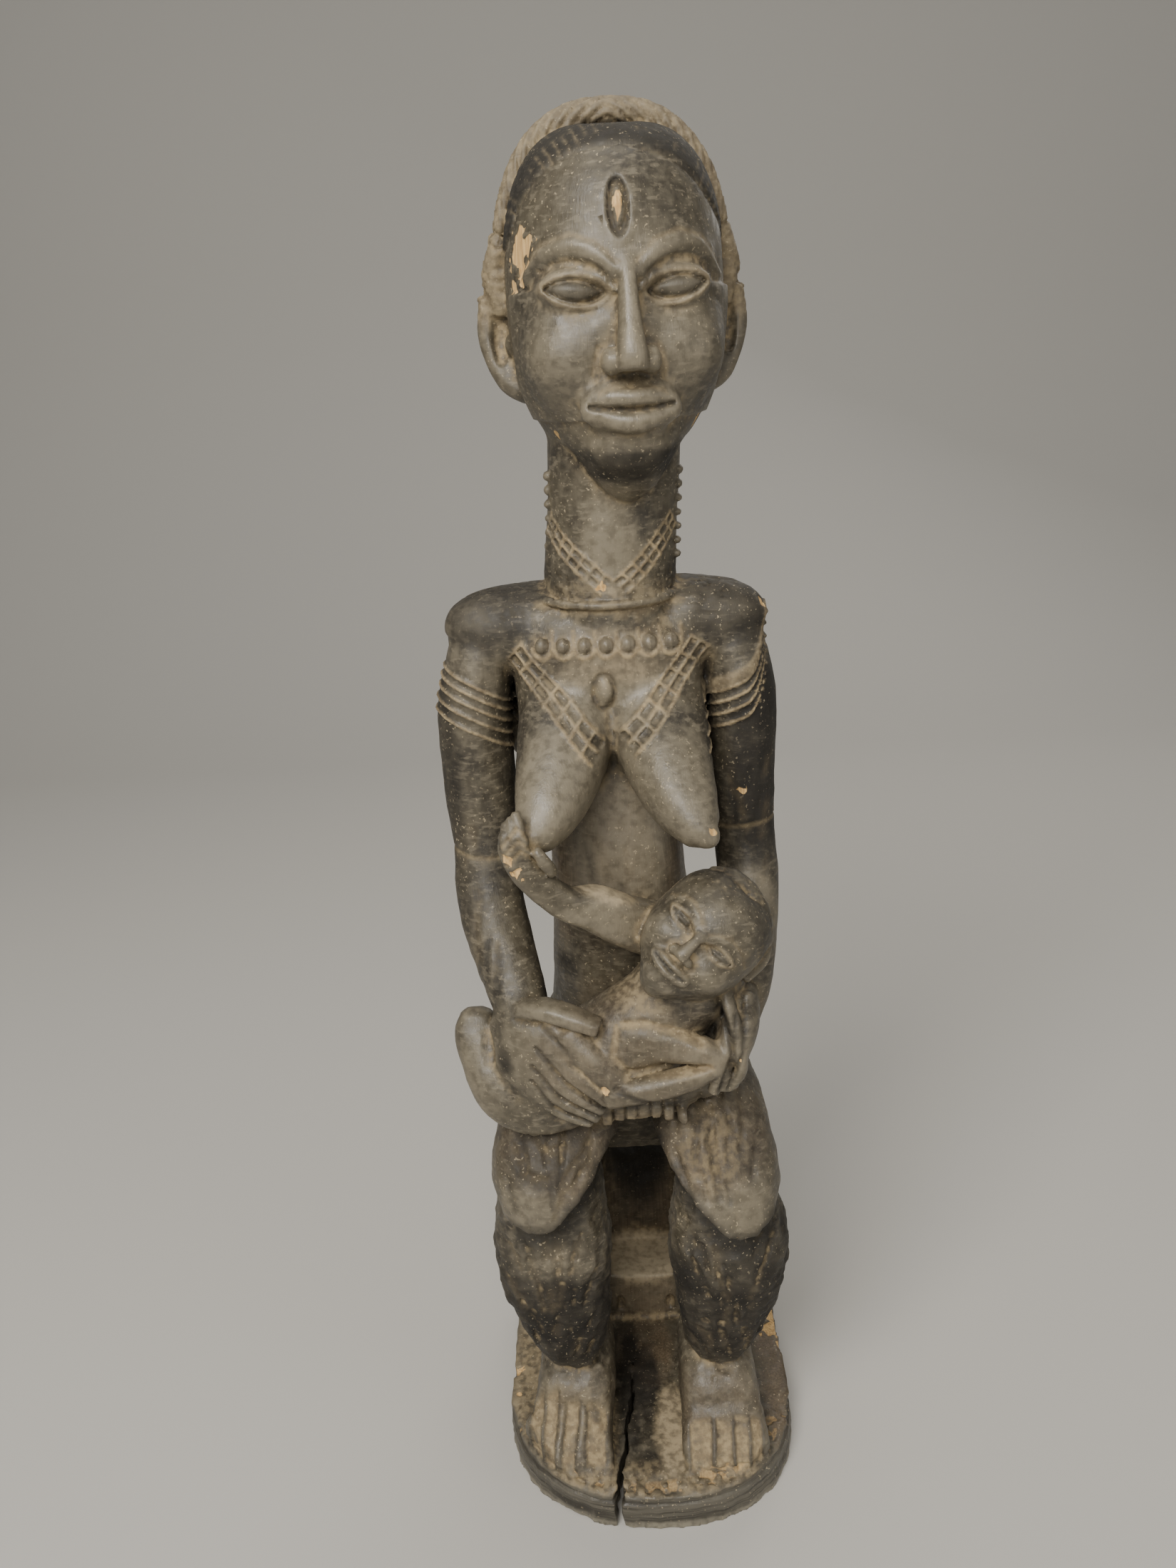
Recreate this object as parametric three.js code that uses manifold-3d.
import * as THREE from "three";
import { mergeVertices } from "three/addons/utils/BufferGeometryUtils.js";
import Module from "manifold-3d";

// A seated mother with a nursing child, carved with her stool and plinth from one log.
// Millimetres, +Z up. The front faces -Y. The origin is on the underside, below the neck.

// Driving dimensions
const FIGURE_HEIGHT = 873; // plinth top to the crown of the hair band
const PLINTH_WIDTH = 210;
const PLINTH_DEPTH = 230;
const PLINTH_THICKNESS = 27;
const PLINTH_EDGE_BEVEL = 3;
const PLINTH_FRONT_SETBACK = 2; // middle of the plinth, behind the origin
const PLINTH_LEFT_SHIFT = 2; // middle of the plinth, left of the origin
const CRACK_LENGTH = 132; // drying split in the plinth, from its front rim back
const CRACK_WIDTH = 4.5; // at the rim

// The pose is written in millimetres for a figure DRAWN_HEIGHT high above its plinth.
const DRAWN_HEIGHT = 873;
const SINK = 4; // how deep a form that stands on the plinth reaches into it

const wasm = await Module();
wasm.setup();

// A point to the viewer's right, towards the viewer, and above the plinth.
const at = (right, front, up) => new THREE.Vector3(right, -front, up);

// Closed body from three.js geometry, ready to be joined or cut.
function solid(geometry) {
  const bare = geometry.clone();
  bare.deleteAttribute("normal");
  bare.deleteAttribute("uv");
  const merged = mergeVertices(bare, 1e-4);
  return new wasm.Manifold(
    new wasm.Mesh({
      numProp: 3,
      vertProperties: new Float32Array(merged.attributes.position.array),
      triVerts: new Uint32Array(merged.index.array),
    }),
  );
}

const join = (bodies) => bodies.reduce((sum, body) => sum.add(body));
const sides2 = [-1, 1];

// A rounded form along a smooth line. Each station is [right, front, up, half width, half depth].
// The half width lies along the direction "across", and the sections are superellipses.
function loft(stations, options = {}) {
  const { sides = 12, rings = 2 * stations.length, across = at(1, 0, 0) } = options;
  const { square = 2, swell = () => 1 } = options;
  const line = new THREE.CatmullRomCurve3(stations.map(([x, f, z]) => at(x, f, z)));
  const sizes = new THREE.CatmullRomCurve3(
    stations.map(([, , , wide, deep]) => new THREE.Vector3(wide, deep, 0)),
  );
  const round = (value) => Math.sign(value) * Math.abs(value) ** (2 / square);
  const geometry = new THREE.SphereGeometry(1, sides, rings);
  const position = geometry.attributes.position;
  for (let i = 0; i < position.count; i++) {
    const row = Math.floor(i / (sides + 1));
    const turn = (((i % (sides + 1)) % sides) / sides) * 2 * Math.PI;
    const along = THREE.MathUtils.clamp((row - 1) / (rings - 2), 0, 1);
    const point = line.getPoint(along);
    if (row > 0 && row < rings) {
      const forward = line.getTangent(along);
      const side = across.clone().addScaledVector(forward, -across.dot(forward)).normalize();
      const normal = forward.clone().cross(side);
      const size = sizes.getPoint(along);
      const grow = swell(along, turn);
      point.addScaledVector(side, -size.x * grow * round(Math.cos(turn)));
      point.addScaledVector(normal, size.y * grow * round(Math.sin(turn)));
    }
    position.setXYZ(i, point.x, point.y, point.z);
  }
  return solid(geometry);
}

// An oval lump with its three half sizes.
function lump([right, front, up], [halfX, halfY, halfZ], sides = 8) {
  const geometry = new THREE.SphereGeometry(1, sides, Math.round(sides * 0.6));
  geometry.rotateX(Math.PI / 2);
  geometry.scale(halfX, halfY, halfZ);
  const centre = at(right, front, up);
  geometry.translate(centre.x, centre.y, centre.z);
  return solid(geometry);
}

// A level ring of round section round an upright column.
function ring([right, front, up], [halfX, halfY], thickness) {
  const geometry = new THREE.TorusGeometry(1, thickness / halfX, 3, 14);
  geometry.scale(halfX, halfY, halfX);
  const centre = at(right, front, up);
  geometry.translate(centre.x, centre.y, centre.z);
  return solid(geometry);
}

// Plinth: straight sides, softer back corners and a round front, fuller on the viewer's right
const FRONT_FULLNESS = [0.95, 0.84];

function plinthOutline(inset) {
  const halfWidth = PLINTH_WIDTH / 2 - inset;
  const halfDepth = PLINTH_DEPTH / 2 - inset;
  const frontRound = 0.8 * halfDepth;
  const corner = 0.34 * halfWidth;
  const outline = new THREE.Shape();
  outline.moveTo(-halfWidth + corner, halfDepth);
  outline.quadraticCurveTo(-halfWidth, halfDepth, -halfWidth, halfDepth - corner);
  const steps = 18;
  for (let i = 0; i <= steps; i++) {
    const angle = Math.PI + (i / steps) * Math.PI;
    const full = Math.cos(angle) < 0 ? FRONT_FULLNESS[0] : FRONT_FULLNESS[1];
    const along = Math.sign(Math.cos(angle)) * Math.abs(Math.cos(angle)) ** full;
    const out = Math.abs(Math.sin(angle)) ** full;
    outline.lineTo(halfWidth * along, -halfDepth + frontRound * (1 - out));
  }
  outline.lineTo(halfWidth, halfDepth - corner);
  outline.quadraticCurveTo(halfWidth, halfDepth, halfWidth - corner, halfDepth);
  outline.closePath();
  return outline;
}

// The round of the log above the plinth, which the feet are trimmed to.
function log(height) {
  const outline = plinthOutline(PLINTH_EDGE_BEVEL);
  const shape = { depth: height + SINK, bevelEnabled: false, curveSegments: 3 };
  const geometry = new THREE.ExtrudeGeometry(outline, shape);
  geometry.translate(-PLINTH_LEFT_SHIFT, PLINTH_FRONT_SETBACK, -SINK);
  return solid(geometry);
}

function plinth() {
  const geometry = new THREE.ExtrudeGeometry(plinthOutline(PLINTH_EDGE_BEVEL), {
    depth: PLINTH_THICKNESS - 2 * PLINTH_EDGE_BEVEL,
    bevelSize: PLINTH_EDGE_BEVEL,
    bevelThickness: PLINTH_EDGE_BEVEL,
    bevelSegments: 1,
    curveSegments: 3,
  });
  geometry.translate(-PLINTH_LEFT_SHIFT, PLINTH_FRONT_SETBACK, PLINTH_EDGE_BEVEL);
  return solid(geometry);
}

// Drying split: a wedge that opens towards the front rim, a little left of the middle
function crack() {
  const rim = PLINTH_DEPTH / 2 - PLINTH_FRONT_SETBACK;
  const overrun = 6;
  const split = new THREE.Shape();
  split.moveTo(-12, rim - CRACK_LENGTH);
  split.lineTo(-16 - CRACK_WIDTH / 4, rim - CRACK_LENGTH / 2);
  split.lineTo(-25 - CRACK_WIDTH / 2, rim + overrun);
  split.lineTo(-25 + CRACK_WIDTH / 2, rim + overrun);
  split.lineTo(-16 + CRACK_WIDTH / 4, rim - CRACK_LENGTH / 2);
  split.closePath();
  const geometry = new THREE.ExtrudeGeometry(split, {
    depth: PLINTH_THICKNESS + 2 * overrun,
    bevelEnabled: false,
  });
  geometry.scale(1, -1, -1);
  geometry.translate(0, 0, PLINTH_THICKNESS + overrun);
  return solid(geometry);
}

// Stool: a rough trunk that flares into the seat, with a cave and a low step between the calves
function stool() {
  const trunk = loft(
    [
      [-2, -84, -SINK, 70, 32],
      [-2, -84, 60, 64, 31],
      [-2, -84, 150, 62, 30],
      [-2, -82, 186, 80, 33],
      [-2, -82, 210, 84, 35],
    ],
    { sides: 12, rings: 6, square: 4.5 },
  );
  const cave = loft(
    [
      [-2, -62, 43, 30, 32],
      [-2, -60, 190, 30, 32],
    ],
    { sides: 8, rings: 3, square: 6 },
  );
  return trunk.subtract(cave);
}

// Legs: thighs that end in crisp round knees, bulging calves and flat feet
const FOOT_SPLAY = [6, 0]; // how far the toes of each foot turn out
const KNEE_DROP = [0, 12]; // the knee on the viewer's right hangs lower
const KNEE_SLANT = [10, 5]; // how far the cut edge under each knee turns inwards

// The line of each thigh's cut edge over the shin, [right, up] from left to right
const KNEE_LINES = [
  [[-97, 214], [-85, 209], [-71, 207], [-58, 212], [-47, 220], [-33, 232], [-23, 245], [-8, 260]],
  [[4, 258], [20, 238], [28, 229], [37, 220], [50, 207], [61, 201], [72, 205], [82, 214], [92, 226]],
];

// Everything above a knee line, for trimming the thigh.
function aboveKnee(line) {
  const top = 400;
  const beyond = 40;
  const reach = 180;
  const outline = new THREE.Shape();
  outline.moveTo(line[0][0] - beyond, top);
  outline.lineTo(line[0][0] - beyond, line[0][1]);
  for (const [right, up] of line) outline.lineTo(right, up);
  outline.lineTo(line.at(-1)[0] + beyond, line.at(-1)[1]);
  outline.lineTo(line.at(-1)[0] + beyond, top);
  outline.closePath();
  const geometry = new THREE.ExtrudeGeometry(outline, { depth: 2 * reach, bevelEnabled: false });
  geometry.rotateX(Math.PI / 2);
  geometry.translate(0, reach, 0);
  return solid(geometry);
}

function leg(side) {
  const drop = KNEE_DROP[side < 0 ? 0 : 1];
  const slant = KNEE_SLANT[side < 0 ? 0 : 1];
  const x = (right) => -3 + side * right;
  const thigh = loft(
    [
      [x(38), -60, 248, 32, 34],
      [x(43), -10, 254, 40, 42],
      [x(47), 36, 254 - drop / 2, 42, 42],
      [x(52 + slant / 2), 62, 240 - drop, 39, 37],
      [x(56 - slant / 2), 70, 219 - drop, 35, 33],
      [x(56 - slant / 2), 66, 205 - drop, 30, 26],
    ],
    { sides: 10, rings: 8, square: 2.4 },
  ).intersect(aboveKnee(KNEE_LINES[side < 0 ? 0 : 1]));
  const calf = loft(
    [
      [x(57), 33, 236 - drop, 30, 28],
      [x(60), 36, 200 - drop, 37, 36],
      [x(61), 38, 160, 41, 42],
      [x(59), 36, 124, 37, 39],
      [x(55.5), 34, 94, 31.5, 33],
      [x(53), 32, 61, 20, 22],
    ],
    { sides: 10, rings: 8, square: 2.4 },
  );
  const splay = FOOT_SPLAY[side < 0 ? 0 : 1];
  const foot = loft(
    [
      [x(51), -16, 18, 22, 20],
      [x(51), 4, 28, 27, 32],
      [x(51.5), 34, 27, 28, 32],
      [x(53 + splay / 3), 55, 15, 29, 24],
      [x(54 + splay), 77, 6, 31 + splay / 2, 15],
      [x(54 + splay), 93, 0, 30 + splay / 2, 7],
    ],
    { sides: 8, rings: 7, square: 3.2 },
  );
  const toes = [0, 1, 2, 3, 4].map((toe) => {
    const out = 30 + toe * (11 + splay / 12);
    const start = 58 - 2 * toe;
    return loft(
      [
        [x(out), start, 97 - start, 4.6, 7],
        [x(out + (splay * toe) / 12), 76, 23.5, 4.8, 7],
        [x(out + (splay * toe) / 8), 92, 6, 4.6, 7],
      ],
      { sides: 5, rings: 3, square: 2.6 },
    );
  });
  const trimmedFoot = join([foot, ...toes]).intersect(log(80));
  return join([thigh, calf, trimmedFoot]);
}

// Trunk of the mother: hips, round belly, flat chest and a square yoke of shoulders
function torso() {
  const body = loft(
    [
      [-3, -52, 214, 66, 48],
      [-3, -40, 258, 72, 52],
      [-3, -16, 316, 54, 52],
      [-4, -4, 370, 48, 50],
      [-6, -1, 432, 43, 50],
      [-6, -6, 482, 43, 46],
      [-6, -9, 524, 54, 45],
      [-6, -9, 566, 58, 49],
      [-5, -9, 588, 56, 45],
      [-3, -9, 604, 40, 34],
    ],
    { sides: 12, rings: 11, square: 2.5 },
  );
  const chest = loft(
    [
      [-5.5, -9, 498, 54, 40],
      [-5.5, -9, 540, 56, 45],
      [-5.5, -10, 576, 56, 47],
    ],
    { sides: 12, rings: 4, square: 4.5 },
  );
  const yoke = loft(
    [
      [-90, 0, 574, 12, 17],
      [-83, -1, 582, 25, 25],
      [-60, -7, 587, 32, 25],
      [-5, -12, 588, 34, 24],
      [48, -7, 587, 32, 25],
      [70, -1, 582, 25, 25],
      [78, 0, 574, 12, 17],
    ],
    { sides: 8, rings: 9, across: at(0, 1, 0), square: 2.4 },
  );
  const web = loft(
    [
      [-5, -34, 486, 58, 12],
      [-5, -34, 520, 78, 16],
      [-5, -30, 575, 80, 22],
    ],
    { sides: 8, rings: 3, square: 2.6 },
  );
  const buttocks = sides2.map((side) => lump([-3 + side * 36, -70, 238], [40, 42, 42], 8));
  return join([body, chest, yoke, web, ...buttocks]);
}

// Breasts: full cones that point down and outwards
function breast(side) {
  const x = (right) => -5 + side * right;
  return loft(
    [
      [x(27), 18, 545, 22, 18],
      [x(29), 34, 527, 28, 26],
      [x(33.5), 56, 509, 25, 25],
      [x(40.5), 77, 494, 19, 19],
      [x(46.5), 88, 486, 13.5, 13],
      [x(51), 94, 482, 7.5, 8],
    ],
    { sides: 10, rings: 7 },
  );
}

// Arms: separate from the waist down, with a ringed upper arm and a long thick forearm
function arm(stations) {
  return loft(stations, { sides: 10, rings: 10 });
}

// Raised rings round an upper arm, tipped down towards the chest
const ARM_RINGS = 3;
const ARM_RING_PITCH = 14;

function armRings([right, front, up], [halfX, halfY], tip) {
  const stations = [];
  for (let i = 0; i <= 2 * ARM_RINGS; i++) {
    const proud = i % 2 ? 1.6 : -0.8;
    const along = (i - ARM_RINGS) * (ARM_RING_PITCH / 2);
    stations.push([0, 0, along, halfX + proud, halfY + proud]);
  }
  const sleeve = loft(stations, { sides: 10, rings: 2 * ARM_RINGS + 2 });
  const place = new THREE.Matrix4().makeRotationY(tip);
  place.setPosition(at(right, front, up));
  return sleeve.transform(place.toArray());
}

function arms() {
  const left = arm([
    [-80, 0, 590, 18, 19],
    [-84, 1, 572, 20, 24],
    [-90, 2, 540, 23, 26],
    [-91, 3, 490, 23, 24],
    [-90, 8, 452, 21, 22],
    [-89, 20, 422, 21.5, 21],
    [-82, 40, 394, 20.5, 19],
    [-72, 62, 370, 18, 17],
    [-66, 76, 356, 16, 14],
  ]);
  const right = arm([
    [67, 0, 588, 17, 19],
    [70, 1, 572, 20, 24],
    [74, 2, 540, 22, 26],
    [74, 3, 490, 21, 24],
    [75, 8, 452, 19.5, 22],
    [76, 20, 422, 19.5, 20],
    [73, 36, 392, 19, 19],
    [68, 54, 366, 18, 17],
    [61, 72, 354, 15, 16],
  ]);
  const rings = [
    armRings([-88.5, 2, 543], [21.6, 26.4], 0.36),
    armRings([72.5, 2, 543], [20.6, 26.4], -0.36),
  ];
  return join([left, right, ...rings]);
}

// Hand on the viewer's left: a raised thumb and four long fingers over the child's hip
function leftHand() {
  const palm = loft(
    [
      [-74, 72, 360, 19, 12],
      [-62, 86, 350, 26, 13],
      [-50, 92, 343, 25, 13],
      [-34, 97, 336, 18, 11],
    ],
    { sides: 6, rings: 5, across: at(0.5, 0, 1), square: 2.6 },
  );
  const thumb = loft(
    [
      [-66, 84, 372, 5, 8],
      [-46, 94, 374, 6, 8],
      [-24, 100, 367, 5.5, 6],
    ],
    { sides: 5, rings: 4, across: at(0, 0, 1), square: 2.6 },
  );
  const fingers = [0, 1, 2, 3].map((finger) =>
    loft(
      [
        [-56 - 3 * finger, 92, 355 - 8 * finger, 4.8, 6],
        [-38 - 4 * finger, 100, 336 - 7 * finger, 5, 6],
        [-12 - 6 * finger, 104, 321 - 4.5 * finger, 4.2, 5],
      ],
      { sides: 4, rings: 4, across: at(0.6, 0, 1), square: 2.4 },
    ),
  );
  return join([palm, thumb, ...fingers]);
}

// Hand on the viewer's right: it wraps round the child's shoulder
function rightHand() {
  const palm = loft(
    [
      [62, 66, 366, 18, 13],
      [60, 82, 350, 24, 13],
      [55, 93, 336, 18, 10],
    ],
    { sides: 6, rings: 4, across: at(0.3, 0.3, 1), square: 2.6 },
  );
  const fingers = [0, 1, 2].map((finger) =>
    loft(
      [
        [68 - 6 * finger, 84 + 3 * finger, 376 - 2 * finger, 4, 5],
        [66 - 6 * finger, 94 + 3 * finger, 350, 4.4, 5],
        [57 - 6 * finger, 98 + 3 * finger, 322, 4, 5],
      ],
      { sides: 4, rings: 3 },
    ),
  );
  return join([palm, ...fingers]);
}

// Head: an egg whose front runs straight from brow to chin and whose back curves to the nape
const HEAD_HALF_HEIGHT = 91;
const HEAD_HALF_WIDTH = 60;
const FACE_FRONT = 75;
const SKULL_BACK = 80;
const CROWN_ROUND = 2.6; // 2 would be an ellipse

function headSection(up, proud = 0) {
  const height = THREE.MathUtils.clamp(up / (HEAD_HALF_HEIGHT + proud), -1, 1);
  const depth = Math.abs(height);
  const bend = height < 0 ? [2.6, 2] : [CROWN_ROUND, CROWN_ROUND];
  const round = (1 - depth ** bend[0]) ** (1 / bend[1]);
  const jaw = height < 0 ? 1 - 0.13 * height ** 2 : 1;
  const front = (FACE_FRONT + proud) * (height < 0 ? Math.sqrt(1 - depth ** 9) : round);
  const back = (SKULL_BACK + proud) * (height < 0 ? 1 - depth ** 1.7 : round);
  return {
    wide: (HEAD_HALF_WIDTH + proud) * round * jaw,
    middle: (front - back) / 2,
    deep: (front + back) / 2,
  };
}

// Ring heights are spaced by angle, so that the crown and the chin come out round.
function egg(proud, rings, sides) {
  const stations = [];
  for (let i = 0; i <= rings; i++) {
    const up = -Math.cos((Math.PI * (i + 0.35)) / (rings + 0.7)) * (HEAD_HALF_HEIGHT + proud);
    const { wide, middle, deep } = headSection(up, proud);
    stations.push([0, middle, up, wide, deep]);
  }
  return loft(stations, { sides, rings: rings + 2 });
}

// A point of the face's surface, or a little in front of it.
function onFace(right, up, proud = 0) {
  const { wide, middle, deep } = headSection(up);
  return [right, middle + deep * Math.sqrt(1 - (right / wide) ** 2) + proud, up];
}

// Face by the usual canon: eyes at half height, brow to nose base as long as nose base to chin
const BROW_LINE = 10;
const NOSE_BASE = (BROW_LINE - HEAD_HALF_HEIGHT) / 2;
const MOUTH_LINE = NOSE_BASE - (NOSE_BASE + HEAD_HALF_HEIGHT) / 3;
const EYE_APART = HEAD_HALF_WIDTH * 0.42;

function face(fullDetail) {
  const forms = [];
  for (const side of sides2) {
    const x = (right) => side * right;
    const eye = EYE_APART;
    forms.push(
      loft(
        [
          [...onFace(x(eye - 14), 0, -3), 1, 3],
          [...onFace(x(eye), 0, -2), 7, 5.5],
          [...onFace(x(eye + 14), 0, -3), 1, 3],
        ],
        { sides: 6, rings: 3, across: at(0, 0, 1) },
      ),
    );
    if (!fullDetail) continue;
    forms.push(
      loft(
        [
          [...onFace(x(7), BROW_LINE - 3, -1), 2.6, 2.6],
          [...onFace(x(eye * 0.9), BROW_LINE + 7, -1), 3.2, 3.2],
          [...onFace(x(eye * 1.5), BROW_LINE + 5, -1), 3, 3],
          [...onFace(x(eye * 1.95), BROW_LINE - 7, -1), 1.6, 1.6],
        ],
        { sides: 4, rings: 5, across: at(0, 0, 1) },
      ),
      loft(
        [
          [...onFace(x(eye - 16), -1, -1), 1.6, 2],
          [...onFace(x(eye), 7, 0.5), 2, 3],
          [...onFace(x(eye + 16), -1, -1), 1.6, 2],
        ],
        { sides: 4, rings: 4, across: at(0, 0, 1) },
      ),
      lump(onFace(x(9.5), NOSE_BASE + 5, 3), [6, 7, 6], 5),
    );
  }
  forms.push(
    loft(
      [
        [...onFace(0, BROW_LINE, -3), 5, 5],
        [...onFace(0, BROW_LINE - 18, -1), 5.5, 8],
        [...onFace(0, NOSE_BASE + 10, 4), 8, 12],
        [...onFace(0, NOSE_BASE, 5), 10, 12],
      ],
      { sides: 6, rings: 4, square: 2.4 },
    ),
    loft(
      [
        [...onFace(-22, MOUTH_LINE + 1, -3), 1.5, 4],
        [...onFace(-8, MOUTH_LINE + 4.5, 0), 5, 6],
        [...onFace(8, MOUTH_LINE + 4.5, 0), 5, 6],
        [...onFace(22, MOUTH_LINE + 1, -3), 1.5, 4],
      ],
      { sides: 6, rings: 4, across: at(0, 0, 1) },
    ),
    loft(
      [
        [...onFace(-20, MOUTH_LINE - 1, -3), 1.5, 4],
        [...onFace(-8, MOUTH_LINE - 5.5, 0), 5, 6],
        [...onFace(8, MOUTH_LINE - 5.5, 0), 5, 6],
        [...onFace(20, MOUTH_LINE - 1, -3), 1.5, 4],
      ],
      { sides: 6, rings: 4, across: at(0, 0, 1) },
    ),
  );
  return join(forms);
}

// Hair: a low cap behind the hairline and a twisted band over the crown
function hairCap(rings, sides) {
  const cutter = new THREE.BoxGeometry(400, 400, 400);
  cutter.translate(0, -200, 0);
  cutter.rotateX(0.72);
  const hairline = at(0, 22, 22);
  cutter.translate(hairline.x, hairline.y, hairline.z);
  return egg(3, rings, sides).subtract(solid(cutter));
}

function hairBand(rings, twists) {
  const bandLine = [];
  const bandSteps = 10;
  for (let i = 0; i <= bandSteps; i++) {
    const angle = Math.PI * (0.07 + (0.86 * i) / bandSteps);
    const up = Math.sin(angle) ** 0.85 * (HEAD_HALF_HEIGHT + 1);
    const thick = 4 + 3.4 * Math.sin(angle);
    const right = -Math.sign(Math.cos(angle)) * (headSection(up - 1).wide + thick - 3.5);
    const across = Math.abs(up) >= HEAD_HALF_HEIGHT ? 0 : right;
    bandLine.push([across, 2, up, thick + 1, thick]);
  }
  const twist = (along, turn) => 1 + 0.14 * Math.cos(2 * turn + 2 * Math.PI * twists * along);
  return loft(bandLine, { sides: 6, rings, across: at(0, 1, 0), swell: twist });
}

function ear(side) {
  const shell = loft(
    [
      [side * 52, -6, -48, 5, 5],
      [side * 60, -9, -38, 8, 6],
      [side * 66, -12, -18, 10, 6],
      [side * 67, -12, 0, 9, 6],
    ],
    { sides: 6, rings: 5, square: 2.6 },
  );
  const tuft = loft(
    [
      [side * 61, -10, -2, 8, 9],
      [side * 64, -8, 14, 8, 9],
      [side * 61, -6, 34, 5, 8],
    ],
    { sides: 6, rings: 4 },
  );
  return join([shell, tuft]);
}

function motherHead() {
  const forehead = onFace(0, (BROW_LINE + HEAD_HALF_HEIGHT * 0.65) / 2, -1);
  const scar = loft(
    [
      [forehead[0], forehead[1] - 1, forehead[2] - 14, 1, 2],
      [...forehead, 5, 3.5],
      [forehead[0], forehead[1] - 3, forehead[2] + 14, 1, 2],
    ],
    { sides: 4, rings: 4 },
  );
  const hair = hairCap(6, 14).add(hairBand(16, 4));
  const forms = [egg(0, 9, 14), face(true), scar, hair, ear(-1), ear(1)];
  const turn = new THREE.Matrix4().makeRotationZ(0.087);
  turn.setPosition(at(7, 2, 770));
  return join(forms).transform(turn.toArray());
}

// Neck: a plain column with a ring at its foot and a V of two lattice bands
const NECK_RADIUS = 38.5;

function neck() {
  const column = loft(
    [
      [-3, -4, 585, 41, 42],
      [-2, -4, 620, 39.5, 41],
      [1.5, -3, 662, NECK_RADIUS, 40],
      [4, -2, 705, NECK_RADIUS, 40],
    ],
    { sides: 14, rings: 3 },
  );
  const forms = [column, ring([-4, -4, 605], [41, 42], 3)];
  for (const side of sides2) {
    for (let bead = 0; bead < 3; bead++) {
      const up = 634 + 15 * bead;
      const right = 1 + 0.04 * (up - 650) + side * (NECK_RADIUS - 0.5);
      forms.push(lump([right, 2, up], [3.6, 4.5, 4.5], 4));
    }
  }
  return join(forms);
}

// Scars: squares in two rows, laid on the skin along a slanting line
const SCAR_DEPTH = 9;

function scarBand(from, to, gap, blocks, surface) {
  const forms = [];
  for (const row of [-0.5, 0.5]) {
    for (let block = 0; block < blocks; block++) {
      const along = (block + 0.5) / blocks;
      const right = THREE.MathUtils.lerp(from[0], to[0], along);
      const up = THREE.MathUtils.lerp(from[1], to[1], along);
      const slope = Math.atan2(to[1] - from[1], to[0] - from[0]);
      const out = [right - row * gap * Math.sin(slope), up + row * gap * Math.cos(slope)];
      const { front, yaw, pitch } = surface(...out);
      const square = new THREE.BoxGeometry(0.8 * gap, SCAR_DEPTH, 0.8 * gap);
      square.rotateY(-slope);
      square.rotateX(pitch);
      square.rotateZ(yaw);
      const centre = at(out[0], front, out[1]);
      square.translate(centre.x, centre.y, centre.z);
      forms.push(solid(square));
    }
  }
  return forms;
}

function scars() {
  const onNeck = (right) => ({
    front: -4 + 38.5 * Math.cos(Math.asin((right + 1) / 41)),
    yaw: Math.asin((right + 1) / 41),
    pitch: 0,
  });
  const onChest = (right, up) => ({
    front: 37 - 0.0035 * (right + 5) ** 2 + 0.0035 * (590 - up) ** 2,
    yaw: 0.01 * (right + 5),
    pitch: 0,
  });
  return [
    ...scarBand([-35, 655], [-5, 616], 9, 3, onNeck),
    ...scarBand([35, 655], [3, 616], 9, 3, onNeck),
    ...scarBand([-52, 584], [-14, 526], 10, 5, onChest),
    ...scarBand([42, 584], [2, 526], 10, 5, onChest),
  ];
}

function studs() {
  const forms = [];
  for (let stud = 0; stud < 7; stud++) {
    const right = -44 + 12.5 * stud;
    forms.push(lump([right, 38.5 - 0.0035 * (right + 6) ** 2, 583], [4.8, 4.8, 4.8], 5));
  }
  forms.push(lump([-8, 41, 556], [4.5, 4, 7.5], 6));
  return forms;
}

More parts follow.
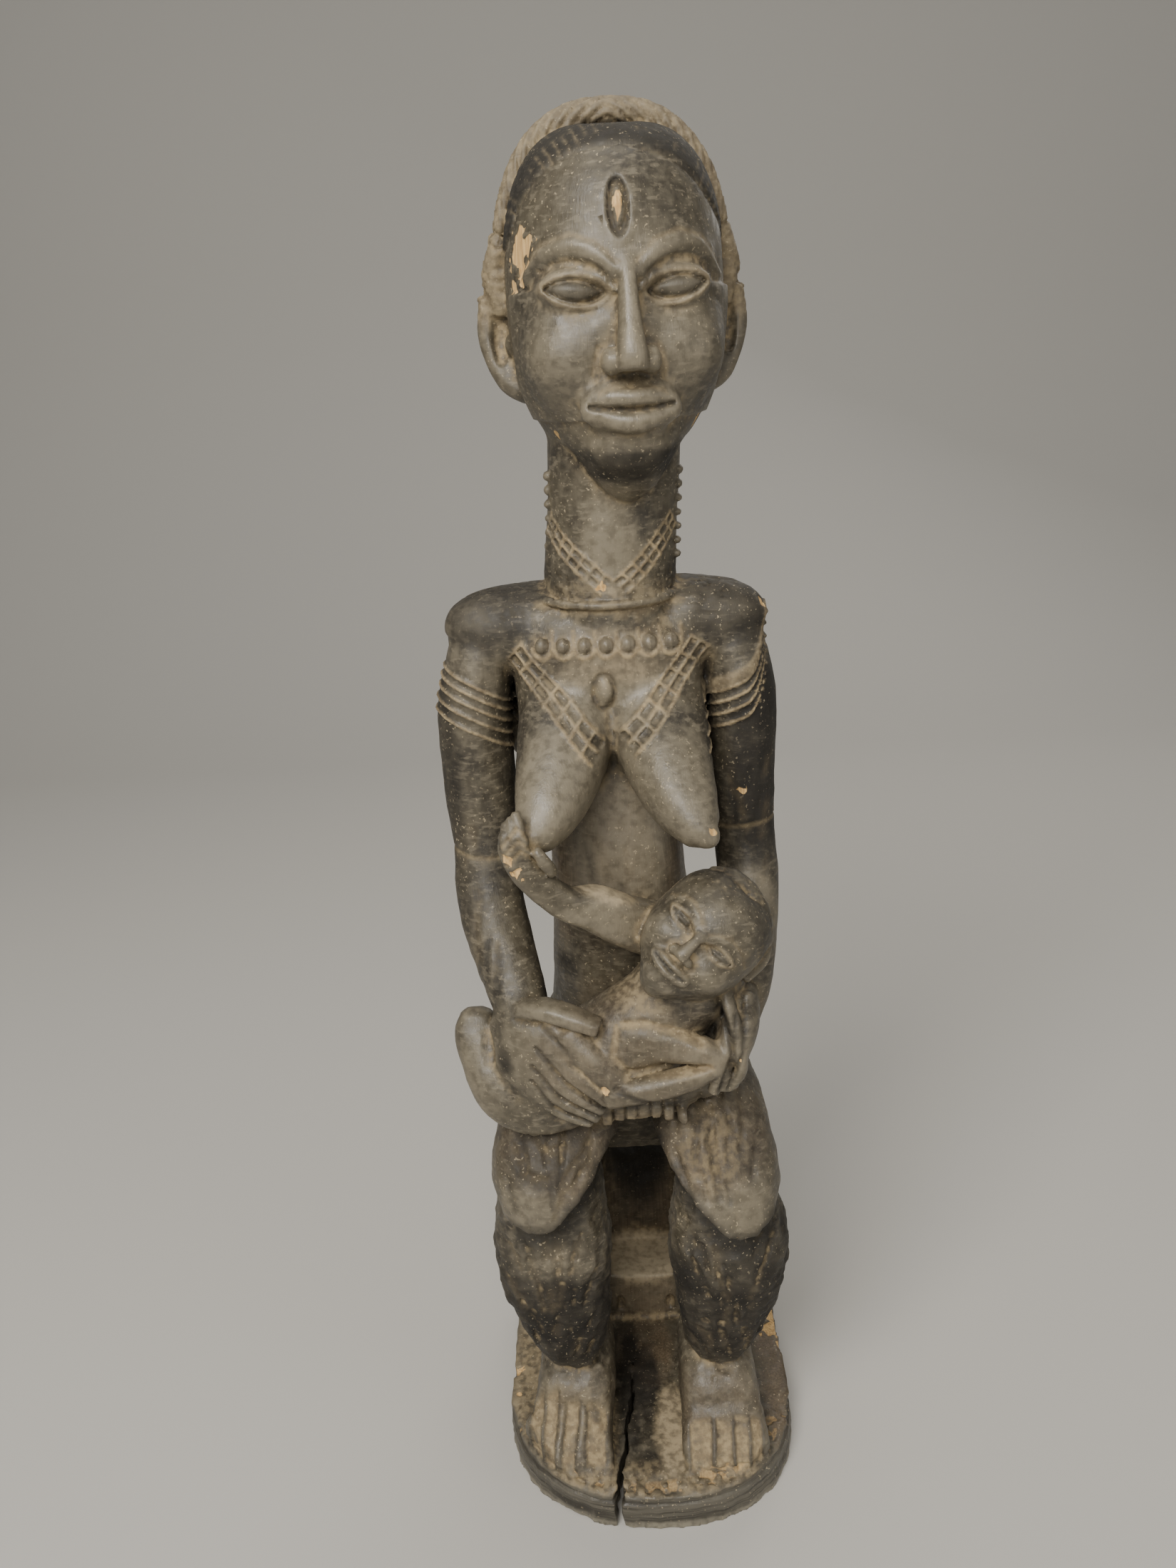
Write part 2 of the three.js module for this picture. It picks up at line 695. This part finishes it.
// Child: lies across the lap with raised head, one hand on the breast and one arm bent
function childBody() {
  const trunk = loft(
    [
      [36, 66, 372, 24, 26],
      [14, 74, 356, 32, 30],
      [-14, 76, 338, 32, 30],
      [-44, 74, 320, 28, 28],
      [-62, 70, 310, 22, 24],
    ],
    { sides: 8, rings: 5, across: at(0, 0, 1) },
  );
  const lap = loft(
    [
      [44, 48, 304, 18, 30],
      [0, 54, 303, 34, 34],
      [-62, 52, 302, 22, 32],
    ],
    { sides: 8, rings: 4, across: at(0, 0, 1) },
  );
  const chest = lump([34, 72, 380], [34, 28, 24], 8);
  const nape = lump([34, 80, 396], [22, 20, 18], 6);
  const reachingArm = loft(
    [
      [12, 64, 407, 15, 17],
      [-4, 74, 419, 14, 15],
      [-20, 80, 431, 13, 14],
      [-36, 86, 442, 10.5, 11.5],
      [-48, 90, 453, 9.5, 10],
      [-57, 94, 466, 9.5, 9.5],
      [-62, 96, 480, 9.5, 9],
    ],
    { sides: 8, rings: 7, across: at(0, 0, 1), square: 3 },
  );
  const fingers = [0, 1, 2].map((finger) =>
    loft(
      [
        [-55 - 4 * finger, 101, 478 - finger, 3.2, 4],
        [-58 - 4.2 * finger, 103, 492 - 2 * finger, 3.2, 4],
        [-61 - 2.6 * finger, 98, 504 - 3 * finger, 2.6, 3],
      ],
      { sides: 4, rings: 3 },
    ),
  );
  const bentArm = loft(
    [
      [-10, 86, 364, 13, 15],
      [16, 93, 360, 14, 15],
      [36, 98, 354, 12, 13],
      [46, 100, 342, 10, 10],
      [34, 103, 333, 9, 8.5],
      [12, 105, 327, 9, 8.5],
      [-8, 105, 323, 8.5, 8],
    ],
    { sides: 7, rings: 10, across: at(0, 1, 0) },
  );
  const farHand = loft(
    [
      [-40, 92, 358, 9, 10],
      [-27, 99, 344, 9, 10],
      [-12, 103, 328, 8, 9],
    ],
    { sides: 6, rings: 4, across: at(0, 1, 0) },
  );
  const foldedLeg = loft(
    [
      [-38, 78, 305, 16, 17],
      [-62, 80, 300, 16, 18],
      [-82, 74, 307, 17, 19],
      [-94, 63, 326, 16, 17],
      [-100, 57, 341, 14, 15],
      [-100, 55, 351, 6, 8],
    ],
    { sides: 8, rings: 8, across: at(0, 1, 0), square: 2.4 },
  );
  return join([
    trunk,
    lap,
    chest,
    nape,
    reachingArm,
    ...fingers,
    bentArm,
    farHand,
    foldedLeg,
  ]);
}

function childHead() {
  const facing = at(-0.14, 0.9, 0.42).normalize();
  const crown = at(0.7, 0, 0.72);
  crown.addScaledVector(facing, -crown.dot(facing)).normalize();
  const back = facing.clone().negate();
  const right = back.clone().cross(crown);
  const place = new THREE.Matrix4().makeBasis(right, back, crown);
  const shrink = new THREE.Matrix4().makeScale(0.56, 0.44, 0.43);
  const move = new THREE.Matrix4().setPosition(at(43, 86, 417));
  const head = join([egg(0, 6, 10), face(false), hairBand(7, 0)]);
  return head.transform(move.multiply(place).multiply(shrink).toArray());
}

// Waist string: a row of small blocks under the child
function waistString() {
  const blocks = [];
  for (let i = 0; i < 7; i++) {
    const block = new THREE.BoxGeometry(6.8, 12, 9);
    const centre = at(-20 + 7.6 * i, 81, 293);
    block.translate(centre.x, centre.y, centre.z);
    blocks.push(solid(block));
  }
  return blocks;
}

function figure() {
  const carved = join([
    stool(),
    leg(-1),
    leg(1),
    torso(),
    breast(-1),
    breast(1),
    arms(),
    leftHand(),
    rightHand(),
    neck(),
    ...scars(),
    ...studs(),
    motherHead(),
    childBody(),
    childHead(),
    ...waistString(),
  ]);
  const grow = FIGURE_HEIGHT / DRAWN_HEIGHT;
  return carved.scale([grow, grow, grow]).translate([0, 0, PLINTH_THICKNESS]);
}

const wood = new THREE.MeshStandardMaterial({
  color: 0x3a342c,
  roughness: 0.55,
  metalness: 0,
});

function geometryOf(body) {
  const mesh = body.getMesh();
  const geometry = new THREE.BufferGeometry();
  geometry.setAttribute("position", new THREE.BufferAttribute(mesh.vertProperties, 3));
  geometry.setIndex(new THREE.BufferAttribute(mesh.triVerts, 1));
  return geometry;
}

const whole = plinth().add(figure()).subtract(crack());
const maternityFigure = new THREE.Mesh(geometryOf(whole), wood);
maternityFigure.name = "maternity_figure";

const part = new THREE.Group();
part.add(maternityFigure);

export default part;
